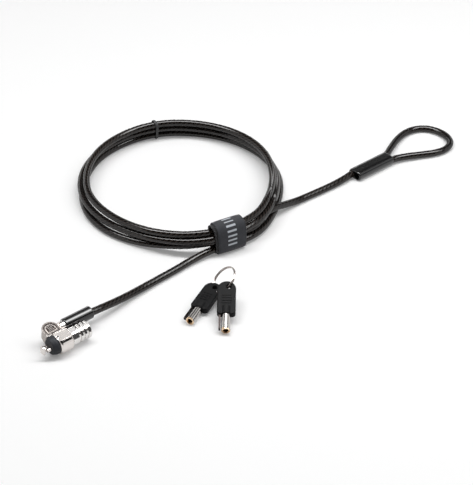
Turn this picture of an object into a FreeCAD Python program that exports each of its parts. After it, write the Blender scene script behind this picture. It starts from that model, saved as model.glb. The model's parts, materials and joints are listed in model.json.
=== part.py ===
"""Laptop cable lock: a pivoting lock head with a turning T-bar, a coiled steel
cable with an eye loop at its far end, a hook-and-loop strap and two keys.

Millimetres. +X runs along the lock barrel from its nose to its key face, +Z is up.
The origin is the middle of the rubber pad's front face, where the lock bears on
the device that it secures. Everything lies on the plane z = FLOOR.
"""
import FreeCAD, Part
import math
import os
from FreeCAD import Placement, Rotation, Vector

os.makedirs("parts", exist_ok=True)

# ---------------------------------------------------------------- lock barrel
COLLAR_RADIUS = 8.2          # yoke collar, outside; the lock lies on it
FLOOR = -COLLAR_RADIUS
RUNNING_FIT = 0.05           # radial, between turning pieces
FIXED_FIT = 0.02             # radial, between pieces of one body
END_GAP = 0.2                # between faces that turn past each other
BARREL_RADIUS = 6.65
BARREL_REAR = 32.5
SHOULDER_X = 16.2            # journal ends and the wide barrel begins
JOURNAL_RADIUS = 5.9
FRONT_BORE = 4.6
REAR_BORE = 5.2
FACET_COUNT = 8
FACET_DEPTH = 0.3            # each shallow flat on the barrel
FACET_LEAN = 12.0            # degrees, first flat, from the top towards -Y
GROOVES = (22.4, 25.7, 29.0)
GROOVE_WIDTH = 1.5
GROOVE_DEPTH = 0.55

# ---------------------------------------------------------------- nose
PAD_LENGTH = 5.0
PAD_FRONT_RADIUS = 5.9
PAD_REAR_RADIUS = 6.8
PLATE_THICKNESS = 1.5
PLATE_RADIUS = 6.2
GUIDE_WIDTH = 6.8            # two prongs that fill the security slot
GUIDE_HEIGHT = 2.8
GUIDE_REACH = 3.4
SPIGOT_LENGTH = 1.5

# ---------------------------------------------------------------- T-bar and rotor
TBAR_SPAN = 6.9
TBAR_WIDTH = 2.8
TBAR_THICKNESS = 2.3
SLOT_GRIP = 4.5              # pad face to the back of the T-bar
NECK_RADIUS = 1.35
SPINDLE_FLANGE_RADIUS = 3.4
SPINDLE_FLANGE = 1.2
TANG_THICKNESS = 1.2
TANG_WIDTH = 2.4
TANG_LENGTH = 2.0
SHAFT_RADIUS = 1.6
ROTOR_RECESS = 0.9           # key face set back from the barrel's rim
SHEAR_X = 22.0               # the plane that the pins must clear
KEYWAY_FLOOR = 24.2
KEY_OUTER_FIT = 0.15         # radial, keyway round the key's tube
KEY_INNER_FIT = 0.2          # radial, keyway post inside the tube

# ---------------------------------------------------------------- pins
PIN_COUNT = 7
PIN_RADIUS = 0.5
KEY_PIN_LENGTH = 2.5
DRIVER_LENGTH = 2.6
SPRING_LENGTH = 6.8
SPRING_WALL = 0.18
BLOCK_FRONT = 12.0

# ---------------------------------------------------------------- yoke
COLLAR_REAR = 16.0
COLLAR_SHOULDER = 1.6        # rounding of its front edge
LUG_X = 8.3                  # pivot pin, along the barrel
LUG_HALF_LENGTH = 6.2
LUG_LEAN = 10.0              # degrees, lug raised from +Y about the barrel axis
PIN_REACH = 11.64            # pivot pin axis from the barrel axis
LUG_END_CENTRE = 10.8
LUG_TOP = 5.0
LUG_BOTTOM = -4.2
PIVOT_RADIUS = 1.5
PANEL_INSET = 1.1
PANEL_DEPTH = 0.8
PANEL_START = 6.4
COLLAR_FLAT = 6.75           # flat on the collar in line with the barrel's top flat

# ---------------------------------------------------------------- cable end
CABLE_DIAMETER = 5.5
TONGUE_THICKNESS = 3.2
TONGUE_EYE_RADIUS = 3.9
TONGUE_WIDTH = 5.6
END_STUB_RADIUS = 3.4
COLLAR_START = 17.6          # small chrome collar on the cable's end
SLEEVE_START = 20.2
SLEEVE_END = 44.0
SLEEVE_RADIUS = 4.8
STUB_END = 30.0
CABLE_START = 20.4

# ---------------------------------------------------------------- coil and strap
COIL_X = 197.5
COIL_Y = 100.5
COIL_INNER = 69.1
COIL_OUTER = 84.9
COIL_HEIGHT = 16.6
COIL_CORNER = 4.0
STRAP_X = 176.0
STRAP_Y = 17.5
STRAP_TURN = -12.0           # degrees, direction of the cables under the strap
STRAP_LENGTH = 25.5
STRAP_DEPTH = 13.5
STRAP_HEIGHT = 24.0
STRAP_LAYER = 1.0
STRAP_CORNER = 5.2
STRAP_SHOW = 3.6             # inner layer that shows past the outer one
BUNDLE_GAP = 0.3
BUNDLE_LENGTH = 39.0
TIE_ANGLE = 66.0
TIE_WIDTH = 2.4
TIE_THICKNESS = 1.2

# ---------------------------------------------------------------- ferrule
FERRULE_START = 314.0
FERRULE_LENGTH = 38.5
FERRULE_Y = 23.2
FERRULE_WIDTH = 13.4
FERRULE_HEIGHT = 8.0
FERRULE_WALL = 0.55
FERRULE_END_WALL = 4.0
CABLE_PITCH = 5.9            # the two cables inside it, side by side

# ---------------------------------------------------------------- keys
KEY_REACH = 43.0             # tip of the tube to the top of the head
HEAD_LENGTH = 29.5
HEAD_WIDTH = 13.4
HEAD_THICKNESS = 5.0
HEAD_CORNER = 2.4
HOLE_FROM_TOP = 5.0
HOLE_RADIUS = 2.2
HOLE_ASIDE = 1.5
TUBE_RADIUS = 3.15
TUBE_BORE = 2.35
CORE_BORE = 1.95
TUBE_BEDDED = 6.5            # length of the tube inside the head
BOSS_WALL = 0.75
BOSS_LENGTH = 7.0
FINGER_SPACE = 0.75          # between the tube and the finger
FINGER_THICKNESS = 1.3
FINGER_WIDTH = 2.6
RING_RADIUS = 10.7
RING_WIRE = 0.5
RING_CHANNEL = 1.3
RING_CENTRE = Vector(137.8, -24.0, 4.6)
RING_NORMAL = Vector(-0.6, 0.33, 0.72)

# What the key's sizes settle, on the key and in the lock.
HEAD_START = KEY_REACH - HEAD_LENGTH
TUBE_LENGTH = HEAD_START + TUBE_BEDDED
BOSS_RADIUS = TUBE_RADIUS + BOSS_WALL
FINGER_OFFSET = TUBE_RADIUS + FINGER_SPACE
KEYWAY_RADIUS = TUBE_RADIUS + KEY_OUTER_FIT
POST_RADIUS = CORE_BORE - KEY_INNER_FIT
PIN_CIRCLE = (TUBE_RADIUS + CORE_BORE) / 2

# The cable's route where it is not coiled, chosen by hand: corners of the runs.
LEAD_LOCK_ROUTE = (
    (CABLE_START, 11.463, 2.02),
    (44.6, 11.6, 1.3),
    (66.0, 13.2, -1.8),
    (86.0, 16.0, -4.5),
    (107.0, 18.0, -5.42),
    (127.0, 18.8, -5.42),
    (143.0, 20.2, -5.2),
    (158.6, 20.5, -4.0),
)
LEAD_LOOP_ROUTE = (
    (219.0, 24.4, 0.3),
    (236.0, 26.1, -2.4),
    (252.0, 27.0, -5.1),
    (270.0, 26.1, -5.42),
    (288.0, 25.1, -5.42),
    (303.0, 25.0, -5.1),
    (317.0, 26.1, -4.2),
    (333.0, 26.15, -4.2),
)
EYE_LOOP_ROUTE = (
    (333.0, 26.15, -4.2),
    (352.5, 26.4, -4.2),
    (364.5, 33.0, -4.5),
    (378.5, 39.6, -4.9),
    (391.0, 42.9, -5.3),
    (402.5, 41.2, -5.4),
    (410.6, 34.4, -5.4),
    (413.9, 24.5, -5.4),
    (413.2, 14.6, -5.4),
    (407.9, 6.4, -5.4),
    (398.6, 3.0, -5.4),
    (388.2, 4.6, -5.3),
    (376.5, 10.3, -5.0),
    (364.0, 16.5, -4.6),
    (352.5, 20.1, -4.2),
    (331.0, 20.25, -4.2),
)

X_AXIS = Vector(1, 0, 0)
Y_AXIS = Vector(0, 1, 0)
Z_AXIS = Vector(0, 0, 1)
built = {}


# ---------------------------------------------------------------- small helpers
def save(name, shape):
    """Keep a finished sub-part and write its STEP file."""
    built[name] = shape
    shape.exportStep("parts/" + name + ".step")


def rod_x(radius, start, end, y=0.0, z=0.0):
    """Cylinder along X."""
    return Part.makeCylinder(radius, end - start, Vector(start, y, z), X_AXIS)


def tube_x(outer, inner, start, end, y=0.0, z=0.0):
    """Hollow cylinder along X."""
    return rod_x(outer, start, end, y, z).cut(rod_x(inner, start - 1, end + 1, y, z))


def turned_x(profile):
    """Solid turned about the X axis from (x, radius) corners."""
    corners = [Vector(x, 0, radius) for x, radius in profile]
    outline = Part.makePolygon(corners + corners[:1])
    return Part.Face(outline).revolve(Vector(0, 0, 0), X_AXIS, 360)


def block(x_range, y_range, z_range):
    """Box between pairs of limits."""
    size = [high - low for low, high in (x_range, y_range, z_range)]
    corner = Vector(x_range[0], y_range[0], z_range[0])
    return Part.makeBox(size[0], size[1], size[2], corner)


def stadium_x(width, height, start, end, y=0.0, z=0.0):
    """Bar along X whose section has two half-round sides."""
    half = (width - height) / 2
    bar = block((start, end), (y - half, y + half), (z - height / 2, z + height / 2))
    for side in (-half, half):
        bar = bar.fuse(rod_x(height / 2, start, end, y + side, z))
    return bar.removeSplitter()


def leaned(shape):
    """Turn from the lug's own axes (Y outward, Z through the lug) to the model's."""
    shape = shape.copy()
    shape.rotate(Vector(0, 0, 0), X_AXIS, LUG_LEAN)
    return shape


def rounded_bar(length, depth, height, corner):
    """Bar along X on z = 0, centred in X and Y, with its long edges rounded."""
    bar = Part.makeBox(length, depth, height, Vector(-length / 2, -depth / 2, 0))
    edges = [e for e in bar.Edges if abs(e.tangentAt(e.FirstParameter).x) > 0.9]
    return bar.makeFillet(corner, edges)


# ---------------------------------------------------------------- cable tubes
def route_wire(points):
    """Straight runs joined by tangent arcs, as large as the runs allow."""
    corners = [Vector(*p) for p in points]
    edges = []
    radii = []
    here = corners[0]
    for before, corner, after in zip(corners, corners[1:], corners[2:]):
        back = (before - corner).normalize()
        ahead = (after - corner).normalize()
        half_turn = (math.pi - back.getAngle(ahead)) / 2
        tangent = 0.45 * min((before - corner).Length, (after - corner).Length)
        radius = tangent / math.tan(half_turn)
        radii.append(radius)
        arc_start = corner + back * tangent
        arc_end = corner + ahead * tangent
        bisector = (back + ahead).normalize()
        reach = radius / math.cos(half_turn) - radius
        edges.append(Part.LineSegment(here, arc_start).toShape())
        edges.append(Part.Arc(arc_start, corner + bisector * reach, arc_end).toShape())
        here = arc_end
    edges.append(Part.LineSegment(here, corners[-1]).toShape())
    return Part.Wire(edges), radii


def cable(name, points):
    """Round cable swept along its route; prints its length and bend radii."""
    wire, radii = route_wire(points)
    start = Vector(*points[0])
    heading = Vector(*points[1]) - start
    ring = Part.Wire(Part.Circle(start, heading, CABLE_DIAMETER / 2).toShape())
    solid = wire.makePipeShell([ring], True, False)
    expected = math.pi * CABLE_DIAMETER ** 2 / 4 * wire.Length
    listed = ", ".join("%.0f" % r for r in radii)
    print("%s: length %.1f, volume ratio %.4f, radii %s"
          % (name, wire.Length, solid.Volume / expected, listed))
    save(name, solid)


# ---------------------------------------------------------------- nose pieces
PLATE_X = PAD_LENGTH - 0.1 - PLATE_THICKNESS
PLATE_REAR = PLATE_X + PLATE_THICKNESS
SPIGOT_END = PLATE_REAR + SPIGOT_LENGTH
NOSE_PIN_CIRCLE = (FRONT_BORE + JOURNAL_RADIUS) / 2
NOSE_PIN_RADIUS = 0.4


def nose_pin_rods(radius, start, end):
    """Two small axial pins that tie the nose plate to the barrel."""
    rods = [rod_x(radius, start, end, y, 0) for y in (-NOSE_PIN_CIRCLE, NOSE_PIN_CIRCLE)]
    return Part.makeCompound(rods)


def guide_block(grow, start, end):
    """The two-prong guide's outline, or the same with room round it."""
    return stadium_x(GUIDE_WIDTH + 2 * grow, GUIDE_HEIGHT + 2 * grow, start, end)


def make_nose_pad():
    body = turned_x(((0, 0), (0, PAD_FRONT_RADIUS - 0.5), (0.5, PAD_FRONT_RADIUS),
                     (PLATE_X - 0.4, PAD_REAR_RADIUS), (PAD_LENGTH, PAD_REAR_RADIUS),
                     (PAD_LENGTH, 0)))
    body = body.cut(rod_x(PLATE_RADIUS + FIXED_FIT, PLATE_X, PAD_LENGTH + 1))
    return body.cut(guide_block(0.1, -1, PLATE_X + 1))


def make_nose_plate():
    plate = rod_x(PLATE_RADIUS, PLATE_X, PLATE_REAR)
    plate = plate.fuse(rod_x(FRONT_BORE - FIXED_FIT, PLATE_REAR, SPIGOT_END))
    plate = plate.fuse(guide_block(0, -GUIDE_REACH, PLATE_X))
    plate = plate.cut(rod_x(NECK_RADIUS + 0.1, -GUIDE_REACH - 1, SPIGOT_END + 1))
    return plate.cut(nose_pin_rods(NOSE_PIN_RADIUS + FIXED_FIT, PLATE_X - 1, PLATE_REAR))


def make_nose_pins():
    return nose_pin_rods(NOSE_PIN_RADIUS, PLATE_X + FIXED_FIT, PLATE_REAR + 2.0)


# ---------------------------------------------------------------- barrel
def facet_prism(start, end):
    """Eight-sided bar whose faces make the shallow flats."""
    apothem = BARREL_RADIUS - FACET_DEPTH
    corner_radius = apothem / math.cos(math.pi / FACET_COUNT)
    corners = []
    for index in range(FACET_COUNT):
        turn = math.radians(FACET_LEAN) + (2 * index + 1) * math.pi / FACET_COUNT
        corners.append(Vector(start, -corner_radius * math.sin(turn),
                              corner_radius * math.cos(turn)))
    outline = Part.makePolygon(corners + corners[:1])
    return Part.Face(outline).extrude(Vector(end - start, 0, 0))


def groove(centre):
    """Ring cut round the barrel with sloping sides."""
    half = GROOVE_WIDTH / 2
    floor = BARREL_RADIUS - FACET_DEPTH - GROOVE_DEPTH
    top = BARREL_RADIUS + 1
    return turned_x(((centre - half - 0.6, top), (centre - half * 0.5, floor),
                     (centre + half * 0.5, floor), (centre + half + 0.6, top)))


def make_lock_barrel():
    rim = 1.1
    wide = turned_x(((SHOULDER_X, 0), (SHOULDER_X, BARREL_RADIUS - 0.5),
                     (SHOULDER_X + 0.5, BARREL_RADIUS),
                     (BARREL_REAR - rim, BARREL_RADIUS),
                     (BARREL_REAR - rim * 0.35, BARREL_RADIUS - rim * 0.3),
                     (BARREL_REAR, BARREL_RADIUS - rim), (BARREL_REAR, 0)))
    wide = wide.common(facet_prism(SHOULDER_X, BARREL_REAR))
    for centre in GROOVES:
        wide = wide.cut(groove(centre))
    barrel = wide.fuse(rod_x(JOURNAL_RADIUS, PLATE_REAR, SHOULDER_X))
    barrel = barrel.cut(rod_x(FRONT_BORE, PLATE_REAR - 1, SHEAR_X + 0.1))
    barrel = barrel.cut(rod_x(REAR_BORE, SHEAR_X, BARREL_REAR + 1))
    pin_room = NOSE_PIN_RADIUS + FIXED_FIT
    barrel = barrel.cut(nose_pin_rods(pin_room, PLATE_REAR - 1, PLATE_REAR + 2.1))
    barrel = barrel.cut(block_pin_rod(BLOCK_PIN_RADIUS + FIXED_FIT, JOURNAL_RADIUS + 1))
    return barrel.removeSplitter()


# ---------------------------------------------------------------- pin block and pins
BLOCK_PIN_X = 14.2
BLOCK_PIN_RADIUS = 0.6
BLOCK_PIN_INNER = 3.4


def block_pin_rod(radius, outer):
    """Radial pin, straight down, that keeps the pin block from turning."""
    start = Vector(BLOCK_PIN_X, 0, -BLOCK_PIN_INNER)
    return Part.makeCylinder(radius, outer - BLOCK_PIN_INNER, start, -Z_AXIS)


def pin_rods(radius, start, end, bore=0.0):
    """Seven axial pins or holes round the keyway post."""
    rods = []
    for index in range(PIN_COUNT):
        turn = 2 * math.pi * (index + 0.5) / PIN_COUNT
        y = PIN_CIRCLE * math.sin(turn)
        z = PIN_CIRCLE * math.cos(turn)
        rod = rod_x(radius, start, end, y, z)
        if bore:
            rod = rod.cut(rod_x(bore, start - 1, end + 1, y, z))
        rods.append(rod)
    return Part.makeCompound(rods)


def make_pin_block():
    body = rod_x(FRONT_BORE - FIXED_FIT, BLOCK_FRONT, SHEAR_X)
    body = body.cut(rod_x(SHAFT_RADIUS + RUNNING_FIT, BLOCK_FRONT - 1, SHEAR_X + 1))
    chamber_start = SHEAR_X - DRIVER_LENGTH - SPRING_LENGTH - 0.1
    body = body.cut(pin_rods(PIN_RADIUS + RUNNING_FIT, chamber_start, SHEAR_X + 1))
    return body.cut(block_pin_rod(BLOCK_PIN_RADIUS + FIXED_FIT, FRONT_BORE + 1))


# ---------------------------------------------------------------- turning pieces
ROTOR_REAR = BARREL_REAR - ROTOR_RECESS
ROTOR_FRONT = SHEAR_X + 0.06
SHAFT_FRONT = SPIGOT_END + END_GAP + SPINDLE_FLANGE + 0.1
FINGER_GAP = 0.2


def make_rotor():
    body = rod_x(REAR_BORE - RUNNING_FIT, ROTOR_FRONT, ROTOR_REAR)
    body = body.cut(tube_x(KEYWAY_RADIUS, POST_RADIUS, KEYWAY_FLOOR, ROTOR_REAR + 1))
    slot_low = FINGER_OFFSET - FINGER_GAP
    slot_half = FINGER_WIDTH / 2 + FINGER_GAP
    body = body.cut(block((KEYWAY_FLOOR, ROTOR_REAR + 1), (-slot_half, slot_half),
                          (slot_low, REAR_BORE + 1)))
    body = body.cut(pin_rods(PIN_RADIUS + RUNNING_FIT, ROTOR_FRONT - 1, KEYWAY_FLOOR + 1))
    shaft = rod_x(SHAFT_RADIUS, SHAFT_FRONT, ROTOR_FRONT + 0.5)
    half_slot = TANG_THICKNESS / 2 + FIXED_FIT
    shaft = shaft.cut(block((SHAFT_FRONT - 1, SHAFT_FRONT + TANG_LENGTH), (-3, 3),
                            (-half_slot, half_slot)))
    return body.fuse(shaft).removeSplitter()


def make_tbar_spindle():
    front = -SLOT_GRIP - TBAR_THICKNESS
    half_span = TBAR_SPAN / 2
    outline = Part.makePolygon([
        Vector(front, 0, half_span - 0.7), Vector(front + 0.7, 0, half_span),
        Vector(-SLOT_GRIP, 0, half_span), Vector(-SLOT_GRIP, 0, -half_span),
        Vector(front + 1.5, 0, -half_span), Vector(front, 0, -half_span + 1.6),
        Vector(front, 0, half_span - 0.7)])
    blade = Part.Face(outline).extrude(Vector(0, TBAR_WIDTH, 0))
    blade.translate(Vector(0, -TBAR_WIDTH / 2, 0))
    blade = blade.common(rod_x(half_span, front - 1, 0))
    flange_x = SPIGOT_END + END_GAP
    flange_end = flange_x + SPINDLE_FLANGE
    spindle = blade.fuse(rod_x(NECK_RADIUS, -SLOT_GRIP - 0.5, flange_x + 0.5))
    spindle = spindle.fuse(rod_x(SPINDLE_FLANGE_RADIUS, flange_x, flange_end))
    tang = block((flange_end - 0.2, SHAFT_FRONT + TANG_LENGTH - 0.1),
                 (-TANG_WIDTH / 2, TANG_WIDTH / 2),
                 (-TANG_THICKNESS / 2, TANG_THICKNESS / 2))
    return spindle.fuse(tang).removeSplitter()


# ---------------------------------------------------------------- yoke
YOKE_BORE = JOURNAL_RADIUS + RUNNING_FIT
YOKE_FRONT = PAD_LENGTH + END_GAP
SLOT_HALF = TONGUE_THICKNESS / 2 + 0.1
SLOT_CORNER = TONGUE_EYE_RADIUS + 0.4


def lug_outline(inset, start):
    """D-shaped outline of the lug in its own X-Y plane, or a smaller one inside it."""
    half = LUG_HALF_LENGTH - inset
    low_left = Vector(LUG_X - half, start, 0)
    low_right = Vector(LUG_X + half, start, 0)
    right = Vector(LUG_X + half, LUG_END_CENTRE, 0)
    left = Vector(LUG_X - half, LUG_END_CENTRE, 0)
    tip = Vector(LUG_X, LUG_END_CENTRE + half, 0)
    edges = [Part.LineSegment(low_left, low_right).toShape(),
             Part.LineSegment(low_right, right).toShape(),
             Part.Arc(right, tip, left).toShape(),
             Part.LineSegment(left, low_left).toShape()]
    return Part.Face(Part.Wire(edges))


def lug_slab(inset, start, low, high):
    """Plate of the lug's outline between two heights."""
    slab = lug_outline(inset, start)
    slab.translate(Vector(0, 0, low))
    return slab.extrude(Vector(0, 0, high - low))


def make_yoke_body():
    lug = lug_slab(0, 0, LUG_BOTTOM, LUG_TOP)
    lug = lug.cut(block((LUG_X - 9, LUG_X + 9), (LUG_END_CENTRE, LUG_END_CENTRE + 9),
                        (LUG_BOTTOM - 1, LUG_BOTTOM + 0.7)))
    collar = turned_x(((YOKE_FRONT, 0), (YOKE_FRONT, COLLAR_RADIUS),
                       (COLLAR_REAR - 1.0, COLLAR_RADIUS),
                       (COLLAR_REAR, COLLAR_RADIUS - 1.0), (COLLAR_REAR, 0)))
    front_edge = [e for e in collar.Edges if e.Closed and e.BoundBox.XMax < YOKE_FRONT + 0.01]
    yoke = leaned(lug).fuse(collar.makeFillet(COLLAR_SHOULDER, front_edge))
    flat = block((YOKE_FRONT - 1, COLLAR_REAR + 1), (-4, 4),
                 (COLLAR_FLAT, COLLAR_RADIUS + 1))
    notch = block((YOKE_FRONT - 1, YOKE_FRONT + 2.2), (-1.4, 1.4), (0, COLLAR_RADIUS + 1))
    for cutter in (flat, notch):
        cutter.rotate(Vector(0, 0, 0), X_AXIS, FACET_LEAN)
        yoke = yoke.cut(cutter)
    yoke = yoke.cut(rod_x(YOKE_BORE, -2, COLLAR_REAR + 1))
    yoke = yoke.cut(rod_x(PAD_REAR_RADIUS + 0.3, -2, YOKE_FRONT))
    slot = block((LUG_X - SLOT_CORNER, LUG_X + 30),
                 (PIN_REACH - SLOT_CORNER, PIN_REACH + 30), (-SLOT_HALF, SLOT_HALF))
    yoke = yoke.cut(leaned(slot))
    recess = lug_slab(PANEL_INSET, PANEL_START, LUG_TOP - PANEL_DEPTH, COLLAR_RADIUS + 1)
    yoke = yoke.cut(leaned(recess))
    pin_hole = Part.makeCylinder(PIVOT_RADIUS + FIXED_FIT, LUG_TOP - LUG_BOTTOM + 2,
                                 Vector(LUG_X, PIN_REACH, LUG_BOTTOM - 1), Z_AXIS)
    return yoke.cut(leaned(pin_hole)).removeSplitter()


def make_hinge_pin():
    length = LUG_TOP - PANEL_DEPTH - LUG_BOTTOM
    pin = Part.makeCylinder(PIVOT_RADIUS, length, Vector(LUG_X, PIN_REACH, LUG_BOTTOM), Z_AXIS)
    return leaned(pin)


def make_yoke_panel():
    """Insert in the lug's top face with a plain raised frame and a knurled middle."""
    base = LUG_TOP - PANEL_DEPTH
    panel = lug_slab(PANEL_INSET + 0.05, PANEL_START + 0.05, base, base + 0.4)
    rim = lug_slab(PANEL_INSET + 0.05, PANEL_START + 0.05, base, base + 0.65)
    panel = panel.fuse(rim.cut(lug_slab(PANEL_INSET + 0.7, PANEL_START + 0.7, base, LUG_TOP)))
    frame = lug_slab(PANEL_INSET + 1.4, PANEL_START + 1.4, base, base + 0.65)
    panel = panel.fuse(frame.cut(lug_slab(PANEL_INSET + 1.9, PANEL_START + 1.9, base, LUG_TOP)))
    for row in range(4):
        y = PANEL_START + 2.9 + row * 1.25
        for column in (-1.3, 0.0, 1.3):
            stud = block((LUG_X + column - 0.4, LUG_X + column + 0.4), (y - 0.35, y + 0.35),
                         (base, base + 0.62))
            panel = panel.fuse(stud)
    return leaned(panel.removeSplitter())


# ---------------------------------------------------------------- cable end pieces
def make_cable_eye():
    """Flat tongue on the pivot pin and the stub that is crimped on the cable."""
    half = TONGUE_THICKNESS / 2
    tongue = Part.makeCylinder(TONGUE_EYE_RADIUS, TONGUE_THICKNESS,
                               Vector(LUG_X, PIN_REACH, -half), Z_AXIS)
    tongue = tongue.fuse(block((LUG_X, COLLAR_START + 1),
                               (PIN_REACH - TONGUE_WIDTH / 2, PIN_REACH + TONGUE_WIDTH / 2),
                               (-half, half)))
    hole = Part.makeCylinder(PIVOT_RADIUS + RUNNING_FIT, TONGUE_THICKNESS + 2,
                             Vector(LUG_X, PIN_REACH, -half - 1), Z_AXIS)
    stub = rod_x(END_STUB_RADIUS, COLLAR_START - 0.6, STUB_END, PIN_REACH)
    stub = stub.cut(rod_x(CABLE_DIAMETER / 2 + FIXED_FIT, CABLE_START, STUB_END + 1, PIN_REACH))
    return leaned(tongue.cut(hole).fuse(stub).removeSplitter())


def make_cable_collar():
    ring = tube_x(4.0, END_STUB_RADIUS + FIXED_FIT, COLLAR_START, SLEEVE_START, PIN_REACH)
    return leaned(ring)


def make_cable_sleeve():
    sleeve = rod_x(SLEEVE_RADIUS, SLEEVE_START, SLEEVE_END, PIN_REACH)
    ends = [e for e in sleeve.Edges if e.Closed]
    sleeve = sleeve.makeFillet(0.9, ends)
    sleeve = sleeve.cut(rod_x(END_STUB_RADIUS + FIXED_FIT, SLEEVE_START - 1,
                              STUB_END + 0.1, PIN_REACH))
    cable_room = CABLE_DIAMETER / 2 + FIXED_FIT
    return leaned(sleeve.cut(rod_x(cable_room, STUB_END - 1, SLEEVE_END + 1, PIN_REACH)))


# ---------------------------------------------------------------- coil, strap, tie
def coil_ring(inner, outer, low, high, corner, start, sweep):
    """Part of a ring round the coil's centre, with rounded section corners."""
    face = Part.makePlane(outer - inner, high - low, Vector(inner, 0, low), -Y_AXIS, X_AXIS)
    section = face.extrude(Vector(0, 1, 0))
    edges = [e for e in section.Edges if abs(e.tangentAt(e.FirstParameter).y) > 0.9]
    section = section.makeFillet(corner, edges)
    flat = [f for f in section.Faces if abs(f.CenterOfMass.y) < 1e-6][0]
    ring = flat.revolve(Vector(0, 0, 0), Z_AXIS, sweep)
    ring.rotate(Vector(0, 0, 0), Z_AXIS, start)
    ring.translate(Vector(COIL_X, COIL_Y, 0))
    return ring


def on_strap(shape):
    """Place a bar made round the origin under or round the strap."""
    shape = shape.copy()
    shape.rotate(Vector(0, 0, 0), Z_AXIS, STRAP_TURN)
    shape.translate(Vector(STRAP_X, STRAP_Y, FLOOR))
    return shape


STRAP_AZIMUTH = math.degrees(math.atan2(STRAP_Y - COIL_Y, STRAP_X - COIL_X))
STRAP_GAP_ANGLE = 23.5
BUNDLE_INSET = 2 * STRAP_LAYER + BUNDLE_GAP


def tie_shell(grow, width):
    """Ring section of the tie, or the groove that it lies in."""
    half_angle = math.degrees(width / 2 / COIL_INNER)
    return coil_ring(COIL_INNER - grow, COIL_OUTER + grow, FLOOR - grow,
                     FLOOR + COIL_HEIGHT + grow, COIL_CORNER + grow,
                     TIE_ANGLE - half_angle, 2 * half_angle)


def make_cable_coil():
    """Outer shape of three turns of cable, with the bundle that the strap holds."""
    start = STRAP_AZIMUTH + STRAP_GAP_ANGLE / 2
    ring = coil_ring(COIL_INNER, COIL_OUTER, FLOOR, FLOOR + COIL_HEIGHT, COIL_CORNER,
                     start, 360 - STRAP_GAP_ANGLE)
    bundle = rounded_bar(BUNDLE_LENGTH, STRAP_DEPTH - 2 * BUNDLE_INSET,
                         STRAP_HEIGHT - 2 * BUNDLE_INSET, STRAP_CORNER - BUNDLE_INSET)
    bundle.translate(Vector(0, 0, BUNDLE_INSET))
    coil = ring.fuse(on_strap(bundle))
    waist = TIE_THICKNESS + 0.15
    groove_ring = tie_shell(1.0, TIE_WIDTH + 0.6).cut(tie_shell(-waist, TIE_WIDTH + 2))
    return coil.cut(groove_ring).removeSplitter()


def make_coil_tie():
    return tie_shell(-0.1, TIE_WIDTH).cut(tie_shell(-0.1 - TIE_THICKNESS, TIE_WIDTH + 2))


def strap_band(outset, length, shift):
    """One closed layer of the strap; outset is its depth below the outer face."""
    outer = rounded_bar(length, STRAP_DEPTH - 2 * outset, STRAP_HEIGHT - 2 * outset,
                        STRAP_CORNER - outset)
    depth = outset + STRAP_LAYER
    inner = rounded_bar(length + 2, STRAP_DEPTH - 2 * depth, STRAP_HEIGHT - 2 * depth,
                        STRAP_CORNER - depth)
    outer.translate(Vector(shift, 0, outset))
    inner.translate(Vector(shift, 0, depth))
    return on_strap(outer.cut(inner))


# ---------------------------------------------------------------- ferrule
def ferrule_bores(start, end):
    """The two cable holes, side by side."""
    radius = CABLE_DIAMETER / 2 + FIXED_FIT
    z = FLOOR + FERRULE_HEIGHT / 2
    return [rod_x(radius, start, end, FERRULE_Y + side, z)
            for side in (-CABLE_PITCH / 2, CABLE_PITCH / 2)]


def make_ferrule_crimp():
    start = FERRULE_START + FERRULE_END_WALL
    end = FERRULE_START + FERRULE_LENGTH - FERRULE_END_WALL
    crimp = stadium_x(FERRULE_WIDTH - 2 * FERRULE_WALL, FERRULE_HEIGHT - 2 * FERRULE_WALL,
                      start, end, FERRULE_Y, FLOOR + FERRULE_HEIGHT / 2)
    for bore in ferrule_bores(start - 1, end + 1):
        crimp = crimp.cut(bore)
    return crimp


def make_ferrule_cover():
    end = FERRULE_START + FERRULE_LENGTH
    z = FLOOR + FERRULE_HEIGHT / 2
    cover = stadium_x(FERRULE_WIDTH, FERRULE_HEIGHT, FERRULE_START, end, FERRULE_Y, z)
    rims = [e for e in cover.Edges
            if abs(e.CenterOfMass.x - FERRULE_START) < 1e-6 or abs(e.CenterOfMass.x - end) < 1e-6]
    cover = cover.makeFillet(1.2, rims)
    room = 2 * (FERRULE_WALL - FIXED_FIT)
    cavity = stadium_x(FERRULE_WIDTH - room, FERRULE_HEIGHT - room,
                       FERRULE_START + FERRULE_END_WALL, end - FERRULE_END_WALL, FERRULE_Y, z)
    cover = cover.cut(cavity)
    for bore in ferrule_bores(FERRULE_START - 1, end + 1):
        cover = cover.cut(bore)
    return cover


# ---------------------------------------------------------------- keys and ring
KEY_POSES = {
    "key_1": {"tip": (96.0, -35.9, -4.8), "heading": -156.0, "tilt": 3.5},
    "key_2": {"tip": (108.4, -60.9, -4.8), "heading": -131.5, "tilt": 15.0},
}


def ring_tori():
    """Two close turns of wire round the ring's axis."""
    wires = []
    for side in (-0.45, 0.45):
        centre = RING_CENTRE + Vector(RING_NORMAL).normalize() * side
        wires.append(Part.makeTorus(RING_RADIUS, RING_WIRE, centre, RING_NORMAL))
    return wires[0].fuse(wires[1])


def ring_channel():
    """Clear way for the ring through a key head."""
    return Part.makeTorus(RING_RADIUS, RING_CHANNEL, RING_CENTRE, RING_NORMAL)


def placed_key(shape, pose):
    """Key axes (X from the tip to the head, Z through the head) to the model's."""
    heading = math.radians(pose["heading"])
    tilt = math.radians(pose["tilt"])
    along = Vector(-math.cos(tilt) * math.cos(heading), -math.cos(tilt) * math.sin(heading),
                   math.sin(tilt))
    through = Vector(math.sin(tilt) * math.cos(heading), math.sin(tilt) * math.sin(heading),
                     math.cos(tilt))
    turn = Rotation(along, through.cross(along), through, "XYZ")
    shape = shape.copy()
    shape.Placement = Placement(Vector(*pose["tip"]), turn).multiply(shape.Placement)
    return shape


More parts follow.
